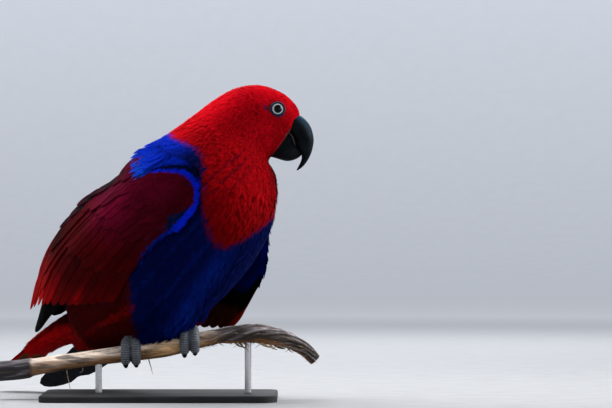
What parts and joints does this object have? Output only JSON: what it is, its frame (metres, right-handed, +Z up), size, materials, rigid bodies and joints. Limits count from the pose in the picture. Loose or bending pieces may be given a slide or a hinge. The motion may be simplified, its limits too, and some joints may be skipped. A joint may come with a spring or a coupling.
{
  "type": "eclectus parrot, female, still display model on a perch",
  "caption": "Life-size still model of a red and blue parrot with a black hooked bill, gripping a cut branch held on a flat base by two short rods.",
  "frame": {"origin": "centre of the underside of the stand's flat base", "axes": "+Z up, +X along the perch towards the side that the bird's head faces, -Y towards the side that its breast faces"},
  "size_m": [0.2519, 0.2229, 0.2348],
  "materials": {
    "head_feathers": "matte",
    "neck_feathers": "matte",
    "body_feathers": "matte",
    "wing_feathers": "satin",
    "tail_feathers": "satin",
    "foot_skin": "matte",
    "claw": "satin",
    "bill": "satin",
    "eye": "gloss",
    "wood": "matte",
    "stand": "satin",
    "steel": "satin"
  },
  "bodies": {
    "root": {"head": "head_feathers", "neck": "neck_feathers", "torso": "body_feathers", "tail": "tail_feathers", "wing_left": "wing_feathers", "wing_right": "wing_feathers", "leg_left": "body_feathers", "leg_right": "body_feathers", "foot_left": "foot_skin", "foot_right": "foot_skin", "claw_left_1": "claw", "claw_left_2": "claw", "claw_left_3": "claw", "claw_left_4": "claw", "claw_right_1": "claw", "claw_right_2": "claw", "claw_right_3": "claw", "claw_right_4": "claw", "bill_upper": "bill", "bill_lower": "bill", "eye_left": "eye", "eye_right": "eye", "perch": "wood", "stand_base": "stand", "stand_rod_left": "steel", "stand_rod_right": "steel"}
  },
  "joints": []
}
